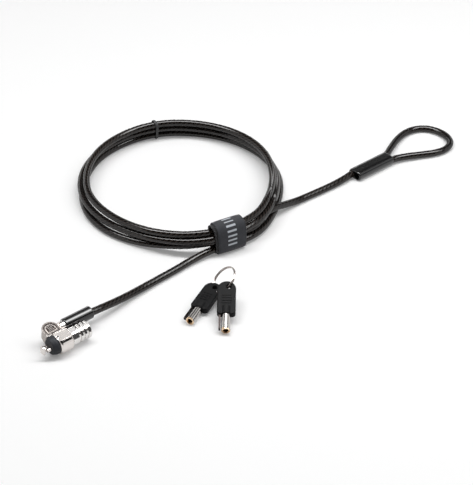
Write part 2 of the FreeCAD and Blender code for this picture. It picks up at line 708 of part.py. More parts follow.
def key_head():
    half = HEAD_WIDTH / 2
    low = -HEAD_THICKNESS / 2
    slab = block((HEAD_START, KEY_REACH - half), (-half, half), (low, -low))
    corners = [e for e in slab.Edges
               if abs(e.CenterOfMass.x - HEAD_START) < 1e-6 and abs(e.CenterOfMass.z) < 1e-6]
    slab = slab.makeFillet(HEAD_CORNER, corners)
    slab = slab.fuse(Part.makeCylinder(half, HEAD_THICKNESS,
                                       Vector(KEY_REACH - half, 0, low), Z_AXIS))
    slab = slab.removeSplitter()
    rims = [e for e in slab.Edges if abs(abs(e.CenterOfMass.z) + low) < 1e-6]
    slab = slab.makeFillet(0.9, rims)
    boss = rod_x(BOSS_RADIUS, HEAD_START + 0.3, HEAD_START + BOSS_LENGTH)
    slab = slab.fuse(boss)
    for row in range(4):
        x = HEAD_START + BOSS_LENGTH + 2.2 + 2.3 * row
        for face in (low, -low - 0.35):
            slab = slab.cut(block((x - 0.45, x + 0.45), (-3.6, 3.6), (face, face + 0.35)))
    hole = Part.makeCylinder(HOLE_RADIUS, HEAD_THICKNESS + 2,
                             Vector(KEY_REACH - HOLE_FROM_TOP, -HOLE_ASIDE, low - 1), Z_AXIS)
    slab = slab.cut(hole)
    slab = slab.cut(rod_x(TUBE_RADIUS + FIXED_FIT, HEAD_START - 1, TUBE_LENGTH + 0.1))
    finger_room = block((HEAD_START - 1, HEAD_START + 2.1),
                        (FINGER_OFFSET - FIXED_FIT, FINGER_OFFSET + FINGER_THICKNESS + FIXED_FIT),
                        (-FINGER_WIDTH / 2 - FIXED_FIT, FINGER_WIDTH / 2 + FIXED_FIT))
    return slab.cut(finger_room)


def key_tube():
    """Steel tube with seven bitting cuts round its end."""
    tube = tube_x(TUBE_RADIUS, TUBE_BORE, 0, TUBE_LENGTH)
    for index in range(PIN_COUNT):
        turn = 2 * math.pi * (index + 0.5) / PIN_COUNT
        depth = 0.5 + 0.25 * (index * 3 % 4)
        middle = TUBE_RADIUS + 0.3
        tube = tube.cut(rod_x(0.62, -1, depth, middle * math.sin(turn), middle * math.cos(turn)))
    return tube


def key_core():
    return tube_x(TUBE_BORE - FIXED_FIT, CORE_BORE, 0.5, TUBE_LENGTH - 1)


def key_finger():
    """Flat guide beside the tube, bedded in the head."""
    strip = block((0.8, HEAD_START + 2.0), (FINGER_OFFSET, FINGER_OFFSET + FINGER_THICKNESS),
                  (-FINGER_WIDTH / 2, FINGER_WIDTH / 2))
    tip = [e for e in strip.Edges
           if abs(e.CenterOfMass.x - 0.8) < 1e-6 and abs(e.tangentAt(e.FirstParameter).y) > 0.9]
    return strip.makeFillet(0.8, tip)


# ---------------------------------------------------------------- build
save("nose_pad", make_nose_pad())
save("nose_plate", make_nose_plate())
save("nose_pins", make_nose_pins())
save("lock_barrel", make_lock_barrel())
save("pin_block", make_pin_block())
save("block_pin", block_pin_rod(BLOCK_PIN_RADIUS, JOURNAL_RADIUS - 0.1))
spring_end = SHEAR_X - DRIVER_LENGTH
save("pin_springs", pin_rods(PIN_RADIUS, spring_end - SPRING_LENGTH, spring_end - 0.05,
                             PIN_RADIUS - SPRING_WALL))
save("driver_pins", pin_rods(PIN_RADIUS, spring_end, SHEAR_X))
save("key_pins", pin_rods(PIN_RADIUS, ROTOR_FRONT, ROTOR_FRONT + KEY_PIN_LENGTH))
save("rotor", make_rotor())
save("shaft_clip", tube_x(2.9, SHAFT_RADIUS + FIXED_FIT, BLOCK_FRONT - 0.45, BLOCK_FRONT - 0.05))
save("tbar_spindle", make_tbar_spindle())
save("yoke_body", make_yoke_body())
save("yoke_panel", make_yoke_panel())
save("hinge_pin", make_hinge_pin())
save("cable_eye", make_cable_eye())
save("cable_collar", make_cable_collar())
save("cable_sleeve", make_cable_sleeve())
cable("cable_lead_lock", LEAD_LOCK_ROUTE)
save("cable_coil", make_cable_coil())
cable("cable_lead_loop", LEAD_LOOP_ROUTE)
cable("eye_loop", EYE_LOOP_ROUTE)
save("ferrule_crimp", make_ferrule_crimp())
save("ferrule_cover", make_ferrule_cover())
save("strap_outer_layer", strap_band(0.0, STRAP_LENGTH, 0.0))
save("strap_inner_layer", strap_band(STRAP_LAYER, STRAP_LENGTH + STRAP_SHOW - 1.0,
                                     -(STRAP_SHOW + 1.0) / 2))
save("coil_tie", make_coil_tie())
save("key_ring", ring_tori())
for key, pose in KEY_POSES.items():
    save(key + "_head", placed_key(key_head(), pose).cut(ring_channel()))
    save(key + "_tube", placed_key(key_tube(), pose))
    save(key + "_core", placed_key(key_core(), pose))
    save(key + "_finger", placed_key(key_finger(), pose))

for name in sorted(built):
    shape = built[name]
    box = shape.BoundBox
    print("%-18s %s solids %d volume %.1f  z %.2f..%.2f"
          % (name, "valid" if shape.isValid() else "INVALID", len(shape.Solids),
             shape.Volume, box.ZMin, box.ZMax))
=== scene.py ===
"""Looks of a laptop cable lock: its coiled steel cable, strap, lock head and two keys on a ring."""

import json
import math

import bpy
from mathutils import Matrix, Vector


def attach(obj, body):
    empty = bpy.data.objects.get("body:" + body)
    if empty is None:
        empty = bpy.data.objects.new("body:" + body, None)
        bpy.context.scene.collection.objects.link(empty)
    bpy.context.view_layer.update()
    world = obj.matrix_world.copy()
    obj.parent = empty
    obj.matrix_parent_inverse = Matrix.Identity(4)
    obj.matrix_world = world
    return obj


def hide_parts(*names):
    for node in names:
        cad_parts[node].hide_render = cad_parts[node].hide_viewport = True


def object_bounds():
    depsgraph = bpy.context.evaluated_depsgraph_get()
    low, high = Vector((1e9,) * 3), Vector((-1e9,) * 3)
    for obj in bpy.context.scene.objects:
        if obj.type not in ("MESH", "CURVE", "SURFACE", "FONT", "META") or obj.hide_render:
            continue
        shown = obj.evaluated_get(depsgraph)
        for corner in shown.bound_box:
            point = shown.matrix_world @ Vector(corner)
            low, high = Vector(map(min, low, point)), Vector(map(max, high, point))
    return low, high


MM = 0.001

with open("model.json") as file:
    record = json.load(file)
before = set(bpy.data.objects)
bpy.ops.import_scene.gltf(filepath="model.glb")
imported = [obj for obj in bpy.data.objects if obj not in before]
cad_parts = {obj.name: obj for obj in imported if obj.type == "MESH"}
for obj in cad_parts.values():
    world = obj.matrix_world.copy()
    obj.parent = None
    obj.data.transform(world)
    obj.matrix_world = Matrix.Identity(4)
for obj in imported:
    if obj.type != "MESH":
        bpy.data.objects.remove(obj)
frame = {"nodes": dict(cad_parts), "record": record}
nodes = frame["nodes"]
cad_low, cad_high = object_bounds()
FLOOR_MM = cad_low.z / MM


# ------------------------------------------------------------------ materials
class Value:
    """A socket inside a node tree. Arithmetic on it adds Math nodes."""

    def __init__(self, maker, socket):
        self.maker = maker
        self.socket = socket

    def maths(self, operation, *values):
        inputs = dict(enumerate(values))
        return self.maker.node("ShaderNodeMath", {"operation": operation}, inputs)

    def __add__(self, other):
        return self.maths("ADD", self, other)

    __radd__ = __add__

    def __sub__(self, other):
        return self.maths("SUBTRACT", self, other)

    def __rsub__(self, other):
        return self.maths("SUBTRACT", other, self)

    def __mul__(self, other):
        return self.maths("MULTIPLY", self, other)

    __rmul__ = __mul__

    def __truediv__(self, other):
        return self.maths("DIVIDE", self, other)

    def __pow__(self, other):
        return self.maths("POWER", self, other)

    def __abs__(self):
        return self.maths("ABSOLUTE", self)

    def sine(self):
        return self.maths("SINE", self)

    def fraction(self):
        return self.maths("FRACT", self)

    def smaller(self, other):
        return self.maths("MINIMUM", self, other)

    def larger(self, other):
        return self.maths("MAXIMUM", self, other)

    def above(self, limit):
        return self.maths("GREATER_THAN", self, limit)

    def step(self, start, end):
        """0 below start, 1 above end, smooth between."""
        settings = {"interpolation_type": "SMOOTHSTEP"}
        return self.maker.node("ShaderNodeMapRange", settings, {0: self, 1: start, 2: end})


class Shading:
    """The nodes of a material or of the world, round one shader."""

    def __init__(self, owner, shader):
        owner.use_nodes = True
        self.tree = owner.node_tree
        self.shader = self.tree.nodes[shader]

    def node(self, kind, settings, inputs, output=0):
        """Any node: its settings go in first, then the values or links of its sockets."""
        made = self.tree.nodes.new(kind)
        for name, setting in settings.items():
            setattr(made, name, setting)
        for name, value in inputs.items():
            self.plug(made.inputs[name], value)
        return Value(self, made.outputs[output])

    def plug(self, socket, value):
        if isinstance(value, Value):
            self.tree.links.new(value.socket, socket)
        elif socket.type == "RGBA":
            socket.default_value = (*value, 1)
        else:
            socket.default_value = value

    def place(self, kind="Object"):
        """Coordinates in metres on a node of the frame, or a mesh's own UV."""
        return self.node("ShaderNodeTexCoord", {}, {}, kind)

    def parts(self, vector):
        return [self.node("ShaderNodeSeparateXYZ", {}, {0: vector}, axis) for axis in range(3)]

    def joined(self, x, y, z):
        return self.node("ShaderNodeCombineXYZ", {}, {0: x, 1: y, 2: z})

    def stretched(self, vector, scale):
        settings = {"operation": "MULTIPLY"}
        return self.node("ShaderNodeVectorMath", settings, {0: vector, 1: scale})

    def noise(self, vector, scale, detail=4, roughness=0.55):
        inputs = {"Vector": vector, "Scale": scale, "Detail": detail, "Roughness": roughness}
        return self.node("ShaderNodeTexNoise", {}, inputs)

    def cells(self, vector, scale):
        """Distance to the nearest of a scatter of points."""
        return self.node("ShaderNodeTexVoronoi", {}, {"Vector": vector, "Scale": scale}, "Distance")

    def mixed(self, factor, first, second):
        settings = {"data_type": "RGBA"}
        return self.node("ShaderNodeMix", settings, {0: factor, 6: first, 7: second}, 2)

    def bump(self, height, distance, strength=1, under=None):
        inputs = {"Height": height, "Distance": distance, "Strength": strength}
        if under:
            inputs["Normal"] = under
        return self.node("ShaderNodeBump", {}, inputs)

    def soft_edges(self, radius):
        return self.node("ShaderNodeBevel", {"samples": 4}, {"Radius": radius})

    def in_sight(self):
        """1 where the eye looks, straight or by way of a mirror or a clear thing; else 0."""
        seen, mirrored, through = [self.node("ShaderNodeLightPath", {}, {}, f"Is {ray} Ray")
                                   for ray in ("Camera", "Glossy", "Transmission")]
        return seen.larger(mirrored).larger(through)

    def shade(self, **inputs):
        """Set the shader's sockets, named with underscores."""
        for name, value in inputs.items():
            label = name.replace("_", " ").title().replace("Ior", "IOR")
            self.plug(self.shader.inputs[label], value)


class Finish(Shading):
    """A material under construction, with one Principled shader."""

    def __init__(self, name):
        self.material = bpy.data.materials.new(name)
        super().__init__(self.material, "Principled BSDF")

    def done(self, **inputs):
        """Set the shader's sockets and hand the material over."""
        self.shade(**inputs)
        return self.material


STRANDS = 6


def jacketed_strands():
    """Black-tinted clear jacket over six twisted strands; U counts strands, V runs along it."""
    f = Finish("jacketed_strands")
    strand, along, _ = f.parts(f.place("UV"))
    across = abs(strand.fraction() - 0.5) * 2
    crown = 1 - across.step(0.2, 0.9)
    wires = ((strand * 5 - along * 900) * (2 * math.pi)).sine() * 0.5 + 0.5
    cloud = f.noise(f.place(), 90, 3)
    patch = f.noise(f.place(), 14, 2)
    steel = f.mixed(wires, (0.014, 0.0105, 0.0086), (0.044, 0.033, 0.027))
    tinted = f.mixed(patch.step(0.35, 0.7) * 0.8, steel, (0.011, 0.0095, 0.0095))
    colour = f.mixed(crown * (0.7 + cloud * 0.6), (0.0009, 0.0008, 0.0009), tinted)
    rough = 0.5 - crown * 0.12 + cloud * 0.1
    relief = crown + wires * crown * 0.18
    return f.done(base_color=colour, roughness=rough, specular_ior_level=0.0,
                  normal=f.bump(relief, 0.16 * MM, 0.55), coat_weight=0.6,
                  coat_roughness=0.07, coat_ior=1.6)


def gloss_moulding():
    f = Finish("gloss_moulding")
    place = f.place()
    haze = f.noise(place, 260, 4)
    marks = f.noise(f.stretched(place, (60, 900, 900)), 1, 3)
    colour = f.mixed(haze, (0.003, 0.003, 0.0032), (0.0065, 0.0065, 0.007))
    rough = 0.17 + marks * 0.08 + haze * 0.05
    waves = f.bump(f.noise(place, 120, 2), 0.05 * MM, 0.35)
    return f.done(base_color=colour, roughness=rough, normal=waves, specular_ior_level=0.15,
                  coat_weight=1.0, coat_roughness=0.07)


DASH_BEAT = 3.9 * MM         # from one dash to the next, round the strap
DASH_FIRST = 1.1 * MM        # no dash nearer to the middle of the top
DASH_MIDDLE = 6.0 * MM       # middle of the row of dashes
DASH_REACH = 17.3 * MM       # from there to each end of the row
DASH_HALF = 3.75 * MM        # half of a dash's length, along the cables
DASH_OFFSET = 0.6 * MM
WARP_PITCH, WEFT_PITCH = 0.55 * MM, 0.8 * MM


def strap_threads(f):
    """Place round the girth, place along the cables, both as a flat place, and fuzz."""
    girth, width, _ = f.parts(f.place("UV"))
    flat = f.joined(girth, width, 0)
    return girth, width, flat, f.noise(flat, 5200, 5, 0.75)


def loop_lining():
    """The strap's inner face, covered in soft black loops."""
    f = Finish("strap_loops")
    _, _, flat, fuzz = strap_threads(f)
    tuft = 1 - f.cells(flat, 1500)
    colour = f.mixed(tuft * fuzz * 1.3, (0.006, 0.006, 0.0065), (0.045, 0.045, 0.048))
    return f.done(base_color=colour, roughness=0.95 - tuft * 0.1, specular_ior_level=0.2,
                  normal=f.bump(tuft + fuzz * 0.6, 0.25 * MM, 0.9), sheen_weight=0.35,
                  sheen_roughness=0.5)


def woven_face():
    """The strap's outer face: dark slate webbing with a row of plain light dashes woven in."""
    f = Finish("strap_weave")
    girth, width, flat, fuzz = strap_threads(f)
    cloud = f.noise(flat, 260, 3)
    warp = (girth * (2 * math.pi / WARP_PITCH)).sine()
    weft = (width * (2 * math.pi / WEFT_PITCH)).sine()
    weave = warp * weft * 0.5 + 0.5
    rib = abs(weft) ** 0.5
    cloth = f.mixed(weave * 0.55 + fuzz * 0.45, (0.0135, 0.0145, 0.0185), (0.047, 0.049, 0.057))
    cloth = f.mixed((cloud - 0.5).step(0.0, 0.25) * 0.35, cloth, (0.058, 0.060, 0.068))
    # The cloth turns much darker along both edges of the band.
    darker_edges = abs(width).step(11.4 * MM, 12.3 * MM)
    cloth = f.mixed(darker_edges * 0.8, cloth, (0.006, 0.006, 0.008))
    beat = (girth / DASH_BEAT).fraction()
    dash = beat.step(0.14, 0.2) * (1 - beat.step(0.52, 0.58))
    soft = 0.1 * MM
    row = abs(girth).step(DASH_FIRST - soft, DASH_FIRST + soft)
    row = row * (1 - abs(girth - DASH_MIDDLE).step(DASH_REACH - soft, DASH_REACH + soft))
    column = 1 - abs(width - DASH_OFFSET).step(DASH_HALF - 1.5 * soft, DASH_HALF + 1.5 * soft)
    worn = (fuzz * 0.6 + cloud * 0.6).step(0.2, 0.5) * 0.25 + 0.7
    colour = f.mixed(dash * column * row * worn, cloth, (0.50, 0.53, 0.57))
    relief = weave * 0.6 + rib * 0.3 + fuzz * 0.35
    return f.done(base_color=colour, roughness=0.8 + fuzz * 0.15, specular_ior_level=0.3,
                  normal=f.bump(relief, 0.12 * MM, 0.8), sheen_weight=0.25,
                  sheen_roughness=0.45)


def ribbed_tie():
    f = Finish("ribbed_tie")
    place = f.place()
    grain = f.noise(place, 1800, 4, 0.7)
    colour = f.mixed(grain, (0.016, 0.016, 0.017), (0.045, 0.045, 0.046))
    return f.done(base_color=colour, roughness=0.55 + grain * 0.2,
                  normal=f.bump(grain, 0.08 * MM, 0.6))


def plated(name, pale, dark, shine, brush, edge, grain):
    """Plated metal; brush stretches its fine marks, edge and grain are in millimetres."""
    f = Finish(name)
    place = f.place()
    marks = f.noise(f.stretched(place, brush), 1, 5, 0.65)
    cloud = f.noise(place, 150, 3)
    pits = f.noise(place, 4200, 2).step(0.66, 0.8)
    colour = f.mixed(cloud * 0.6 + marks * 0.4, dark, pale)
    rough = shine + marks * 0.09 + cloud * 0.05 + pits * 0.06
    relief = f.bump(marks * 0.5 + pits * 0.25, grain * MM, 0.5, f.soft_edges(edge * MM))
    return f.done(base_color=colour, roughness=rough, metallic=1.0, normal=relief)


def yoke_nickel():
    """Nickel on the yoke: bright round the collar, darker and duller on the cast lug."""
    f = Finish("yoke_nickel")
    place = f.place()
    _, y, _ = f.parts(place)
    lug = y.step(4.6 * MM, 6.6 * MM)
    grain = f.noise(place, 900, 4, 0.7)
    cloud = f.noise(place, 150, 3)
    bright = f.mixed(cloud, (0.62, 0.585, 0.56), (0.76, 0.72, 0.695))
    cast = f.mixed(grain, (0.27, 0.24, 0.225), (0.47, 0.43, 0.405))
    relief = f.bump(grain, 0.02 * MM, 0.5, f.soft_edges(0.22 * MM))
    return f.done(base_color=f.mixed(lug, bright, cast), metallic=1.0, normal=relief,
                  roughness=0.09 + lug * 0.15 + cloud * 0.06)


LUG_LEAN = math.radians(10.0)
PANEL_MIDDLE = 8.3 * MM      # along the barrel
PANEL_HALF = 5.1 * MM
PANEL_START, PANEL_ROUND = 6.4 * MM, 10.8 * MM   # out from the barrel: its near edge, its end's centre
PANEL_TOP = 4.7 * MM         # between the panel's floor and the tops of the studs
FRAME_OUTSIDE, FRAME_INSIDE = 0.85 * MM, 2.0 * MM    # in from the panel's edge


def shaded_cast_panel():
    """Cast panel in the yoke: rim and floor painted dark as the recess's shade, one bright frame,
    bright studs.
    """
    f = Finish("shaded_cast_panel")
    place = f.place()
    x, y, z = f.parts(place)
    out = y * math.cos(LUG_LEAN) + z * math.sin(LUG_LEAN)
    past = (out - PANEL_ROUND).larger(0)
    aside = x - PANEL_MIDDLE
    inset = (PANEL_HALF - (aside * aside + past * past) ** 0.5).smaller(out - PANEL_START)
    frame_line = inset.above(FRAME_OUTSIDE) * (1 - inset.above(FRAME_INSIDE))
    stud = (z * math.cos(LUG_LEAN) - y * math.sin(LUG_LEAN)).above(PANEL_TOP)
    raised = frame_line.larger(stud * inset.above(FRAME_INSIDE))
    grain = f.noise(place, 1500, 5, 0.7)
    pebble = f.cells(place, 1300)
    low = grain.step(0.35, 0.65) * 0.6 + pebble * 0.5
    # The rim and floor round the frame and studs get a near-black colour: painted shade in the recess.
    shaded_ground = f.mixed(low, (0.012, 0.010, 0.009), (0.055, 0.046, 0.042))
    colour = f.mixed(raised, shaded_ground, (0.66, 0.61, 0.58))
    return f.done(base_color=colour, roughness=0.30 - raised * 0.12 + grain * 0.1, metallic=1.0,
                  normal=f.bump(low * (1 - raised), 0.14 * MM, 0.9))


def nose_rubber():
    f = Finish("nose_rubber")
    place = f.place()
    grain = f.noise(place, 2600, 4, 0.7)
    bloom = f.noise(place, 220, 3)
    colour = f.mixed(bloom * 0.7 + grain * 0.3, (0.008, 0.0093, 0.0125), (0.024, 0.027, 0.033))
    return f.done(base_color=colour, roughness=0.52 + grain * 0.2, specular_ior_level=0.3,
                  normal=f.bump(grain, 0.05 * MM, 0.5, f.soft_edges(0.25 * MM)))


def key_plastic():
    """Black moulded plastic with a spark-eroded grain."""
    f = Finish("key_plastic")
    place = f.place()
    spark = f.noise(place, 1700, 4, 0.75)
    scuff = f.noise(f.stretched(place, (300, 300, 1200)), 1, 4)
    colour = f.mixed(spark * 0.6 + scuff.step(0.5, 0.8) * 0.4, (0.003, 0.003, 0.0033),
                     (0.010, 0.010, 0.0105))
    return f.done(base_color=colour, roughness=0.42 + spark * 0.2, specular_ior_level=0.1,
                  normal=f.bump(spark, 0.07 * MM, 0.65, f.soft_edges(0.3 * MM)))


def lathe_marks(f):
    """Scratches and a film of wear on turned metal."""
    place = f.place()
    cloud = f.noise(place, 400, 4)
    scratch = f.noise(f.stretched(place, (2500, 700, 2500)), 1, 4, 0.7)
    return scratch, cloud * 0.5 + scratch * 0.5


def off_the_lathe(f, colour, shine, scratch):
    return f.done(base_color=colour, roughness=shine + scratch * 0.16, metallic=1.0,
                  normal=f.bump(scratch, 0.02 * MM, 0.5, f.soft_edges(0.1 * MM)))


def turned(name, pale, dark, shine):
    f = Finish(name)
    scratch, wear = lathe_marks(f)
    return off_the_lathe(f, f.mixed(wear, dark, pale), shine, scratch)


def tube_mouth(key):
    """Direction of a key's tube towards its mouth, and how far along it the mouth lies."""
    tube = [vertex.co for vertex in nodes[key + "_tube"].data.vertices]
    head = [vertex.co for vertex in nodes[key + "_head"].data.vertices]
    axis = sum(tube, Vector()) / len(tube) - sum(head, Vector()) / len(head)
    share = len(tube) // 8
    for _ in range(3):
        tube.sort(key=axis.dot)
        axis = (sum(tube[-share:], Vector()) - sum(tube[:share], Vector())).normalized()
    return axis, axis.dot(tube[-1])


MOUTH_LENGTH = 1.9 * MM


def tube_steel(key):
    """Turned steel tube that ends in a brass mouth."""
    axis, tip = tube_mouth(key)
    f = Finish(key + "_steel")
    x, y, z = f.parts(f.place())
    mouth = (x * axis.x + y * axis.y + z * axis.z).above(tip - MOUTH_LENGTH)
    scratch, wear = lathe_marks(f)
    steel = f.mixed(wear, (0.38, 0.36, 0.345), (0.62, 0.60, 0.58))
    brass = f.mixed(wear, (0.60, 0.43, 0.27), (0.90, 0.70, 0.50))
    return off_the_lathe(f, f.mixed(mouth, steel, brass), 0.06 + mouth * 0.1, scratch)


def paint_nodes():
    """Every piece of the frame gets the finish of its own name, or else of its slot."""
    moulding, rubber = gloss_moulding(), nose_rubber()
    # The keys' fingers are plated steel given a near-black colour: a painted dark reflection.
    finger = turned("finger_steel_painted_dark", (0.045, 0.037, 0.035), (0.024, 0.02, 0.019), 0.2)
    finishes = {
        "satin_nickel": plated("satin_nickel", (0.74, 0.70, 0.675), (0.60, 0.565, 0.54), 0.09,
                               (500, 1800, 1800), 0.22, 0.01),
        "polished_chrome": plated("polished_chrome", (0.80, 0.785, 0.77), (0.68, 0.66, 0.645),
                                  0.055, (300, 1500, 1500), 0.14, 0.008),
        "ring_nickel": plated("ring_nickel", (0.58, 0.53, 0.50), (0.34, 0.30, 0.28), 0.13,
                              (1500, 1500, 1500), 0.05, 0.01),
        "plain_steel": turned("plain_steel", (0.46, 0.45, 0.44), (0.28, 0.27, 0.265), 0.28),
        "turned_brass": turned("turned_brass", (0.86, 0.66, 0.46), (0.55, 0.38, 0.22), 0.16),
        "crimp_aluminium": turned("crimp_aluminium", (0.60, 0.60, 0.60), (0.42, 0.42, 0.42), 0.35),
        "gloss_moulding": moulding, "tie_plastic": moulding, "cable_jacket": moulding,
        "pad_rubber": rubber, "strap_fabric": rubber, "key_plastic": key_plastic(),
        "yoke_panel": shaded_cast_panel(), "yoke_body": yoke_nickel(),
        "key_1_finger": finger, "key_2_finger": finger,
        "key_1_tube": tube_steel("key_1"), "key_2_tube": tube_steel("key_2"),
    }
    for part in frame["record"]["subparts"]:
        piece = nodes[part["node"]]
        own = part["node"] if part["node"] in finishes else part["material_slot"]
        piece.data.materials.clear()
        piece.data.materials.append(finishes[own])


# ------------------------------------------------------------------ cable
COIL_CENTRE = Vector((197.5, 100.5))
STRAP_CENTRE = Vector((176.0, 17.5))
STRAP_TURN = math.radians(-12.0)
STRAP_REACH = 85.7           # from the coil's centre to the cables in the strap
STRAP_AZIMUTH = -104.5       # of the strap, seen from the coil's centre

# The cable where it isn't coiled, in millimetres, from the yoke's eye to the crimp in the ferrule.
LEAD_FROM_LOCK = (
    (20.4, 11.463, 2.02),
    (44.6, 11.6, 1.3),
    (66.0, 13.2, -1.8),
    (86.0, 16.0, -4.5),
    (107.0, 18.0, -5.42),
    (127.0, 18.8, -5.42),
    (143.0, 20.2, -5.2),
)
LEAD_TO_LOOP = (
    (218.0, 23.4, 0.9),
    (230.0, 25.2, 0.8),
    (242.0, 26.4, -2.4),
    (255.0, 27.0, -5.2),
    (270.0, 26.1, -5.42),
    (288.0, 25.1, -5.42),
    (303.0, 25.0, -5.1),
    (317.0, 26.1, -4.2),
    (333.0, 26.15, -4.2),
)
EYE_LOOP = (
    (352.5, 26.4, -4.2),
    (364.5, 33.0, -4.5),
    (378.5, 39.6, -4.9),
    (391.0, 42.9, -5.3),
    (402.5, 41.2, -5.4),
    (410.6, 34.4, -5.4),
    (413.9, 24.5, -5.4),
    (413.2, 14.6, -5.4),
    (407.9, 6.4, -5.4),
    (398.6, 3.0, -5.4),
    (388.2, 4.6, -5.3),
    (376.5, 10.3, -5.0),
    (364.0, 16.5, -4.6),
    (352.5, 20.1, -4.2),
    (331.0, 20.25, -4.2),
)
LEAVING_THE_COIL = ((-88, 85.0, 8.9), (-81.5, 83.2, 9.1))    # azimuth, radius, height
MOUTH_ALONG = 15             # from the strap's middle to the points at its two mouths
# Where cables pass its mouths: outward from its middle, height over the floor.
LEFT_MOUTH = ((1.9, 4.7), (-1.9, 8.9), (1.3, 13.5), (-2.2, 17.9))
RIGHT_MOUTH = ((1.9, 4.6), (1.3, 13.9), (-1.9, 18.6), (-2.4, 8.7))
# Inside it they change places: along, outward and height of each pass.
INSIDE = (
    ((0.0, 1.9, 4.8),),
    ((-8.0, 0.2, 9.7), (0.0, 2.6, 11.0), (8.0, 2.9, 13.0)),
    ((-8.0, 2.7, 14.7), (0.0, 2.9, 16.7), (8.0, 1.0, 18.5)),
    ((-7.0, -3.1, 16.5), (1.0, -3.1, 12.8), (9.0, -3.0, 9.4)),
)
TURNS = 3
POINTS_A_TURN = 21
TURN_HEIGHTS = (2.75, 8.3, 13.85)    # of each turn's centre over the floor, away from the strap
# Each turn: its radius, how far it leans, how oval it is, the azimuth of both, and its local
# bulges and dents as azimuth, width and height.
TURN_SHAPES = (
    (78.8, 2.4, 0.0, 40, ((188, 30, 2.7), (132, 22, -2.2))),
    (77.2, 2.9, 0.0, 70, ((192, 25, 0.8),)),
    (75.4, 2.3, 1.1, 50, ((132, 16, -1.2), (-35, 18, -1.6))),
)
# Degrees wound from the strap's middle: a turn's first point, and the end of its straight run.
TURN_START, STRAIGHT_END = 22, 14
SETTLE_START = 4             # where a turn starts to bend from the strap's place into its own
SETTLING = ((50, 52), (60, 60), (52, 66))    # degrees that it takes, leaving and joining
HUMP_PLACE, HUMP_WIDTH = 39, 17
HUMPS = (0.0, 4.2, 3.6)      # how far a turn climbs there, over the one that crosses below it
# A curve cuts inside its control points, so they stand a little out, less near the strap.
OUTSTAND, OUTSTAND_NEAR, NEAR_STRAP = 1.009, 1.006, 40
TIE_AZIMUTH = 66.0
TIE_LIFT, TIE_SPREAD = 1.1, 16       # the bundle's rise over the band that is tied round it


def ease(t):
    t = min(max(t, 0.0), 1.0)
    return t * t * (3 - 2 * t)


def cosine(degrees):
    return math.cos(math.radians(degrees))


def in_strap(along, outward, height):
    """A point in the strap's own directions, in millimetres."""
    x = STRAP_CENTRE.x + along * math.cos(STRAP_TURN) + outward * math.sin(STRAP_TURN)
    y = STRAP_CENTRE.y + along * math.sin(STRAP_TURN) - outward * math.cos(STRAP_TURN)
    return (x, y, height + FLOOR_MM)


def round_coil(azimuth, radius, height):
    x = COIL_CENTRE.x + radius * cosine(azimuth)
    y = COIL_CENTRE.y + radius * cosine(azimuth - 90)
    return (x, y, height + FLOOR_MM)


def swell(place, middle, width, height):
    """A smooth local rise of a value, or a dip where its height is negative."""
    return height * math.exp(-((place - middle) / width) ** 2)


def turn_radius(turn, azimuth):
    """The three turns lean apart at the front and lie together at the tie."""
    radius, lean, oval, towards, bulges = TURN_SHAPES[turn]
    radius += lean * cosine(azimuth - towards) + oval * cosine(2 * (azimuth - towards))
    return radius + sum(swell(azimuth, *bulge) for bulge in bulges)


def one_turn(turn):
    """Control points of a turn, from the strap's right side round to its left."""
    leaving, joining = SETTLING[turn]
    points = []
    for step in range(POINTS_A_TURN):
        wound = TURN_START + (360 - 2 * TURN_START) * step / (POINTS_A_TURN - 1)
        azimuth = STRAP_AZIMUTH + wound
        if wound < 180:
            settled = ease((wound - SETTLE_START) / leaving)
            outward, strap_height = RIGHT_MOUTH[turn]
        else:
            settled = ease((360 - SETTLE_START - wound) / joining)
            outward, strap_height = LEFT_MOUTH[turn + 1]
        radius = STRAP_REACH / cosine(STRAIGHT_END) + outward
        radius += (turn_radius(turn, azimuth) - radius) * settled
        radius *= OUTSTAND if NEAR_STRAP < wound < 360 - NEAR_STRAP else OUTSTAND_NEAR
        height = strap_height + (TURN_HEIGHTS[turn] - strap_height) * settled
        height += swell(wound, HUMP_PLACE, HUMP_WIDTH, HUMPS[turn])
        height += swell(azimuth, TIE_AZIMUTH, TIE_SPREAD, TIE_LIFT)
        points.append(round_coil(azimuth, radius, height))
    return points


def strap_pass(index):
    """Control points of one pass through the strap."""
    left, right = (-MOUTH_ALONG, *LEFT_MOUTH[index]), (MOUTH_ALONG, *RIGHT_MOUTH[index])
    return [in_strap(*place) for place in (left, *INSIDE[index], right)]


def cable_route():
    route = list(LEAD_FROM_LOCK)
    for turn in range(TURNS):
        route += strap_pass(turn) + one_turn(turn)
    route += strap_pass(TURNS) + [round_coil(*place) for place in LEAVING_THE_COIL]
    route += LEAD_TO_LOOP + EYE_LOOP
    return [Vector(point) * MM for point in route]


def smooth_line(points):
    """The line of one NURBS spline that follows its control points."""
    curve = bpy.data.curves.new("cable_route", "CURVE")
    curve.dimensions = "3D"
    curve.resolution_u = 20
    spline = curve.splines.new("NURBS")
    spline.points.add(len(points) - 1)
    for knot, point in zip(spline.points, points):
        knot.co = (*point, 1)
    spline.order_u = 3
    spline.use_endpoint_u = True
    route = bpy.data.objects.new("cable_route", curve)
    bpy.context.scene.collection.objects.link(route)
    depsgraph = bpy.context.evaluated_depsgraph_get()
    mesh = bpy.data.meshes.new_from_object(route.evaluated_get(depsgraph))
    line = [vertex.co.copy() for vertex in mesh.vertices]
    bpy.data.objects.remove(route)
    bpy.data.meshes.remove(mesh)
    return line


def mesh_piece(name, vertices, faces, uvs=()):
    mesh = bpy.data.meshes.new(name)
    mesh.from_pydata(vertices, [], faces)
    if uvs:
        layer = mesh.uv_layers.new(name="lay")
        for loop, uv in zip(layer.data, uvs):
            loop.uv = uv
    mesh.polygons.foreach_set("use_smooth", [True] * len(mesh.polygons))
    mesh.validate()
    piece = bpy.data.objects.new(name, mesh)
    bpy.context.scene.collection.objects.link(piece)
    return piece


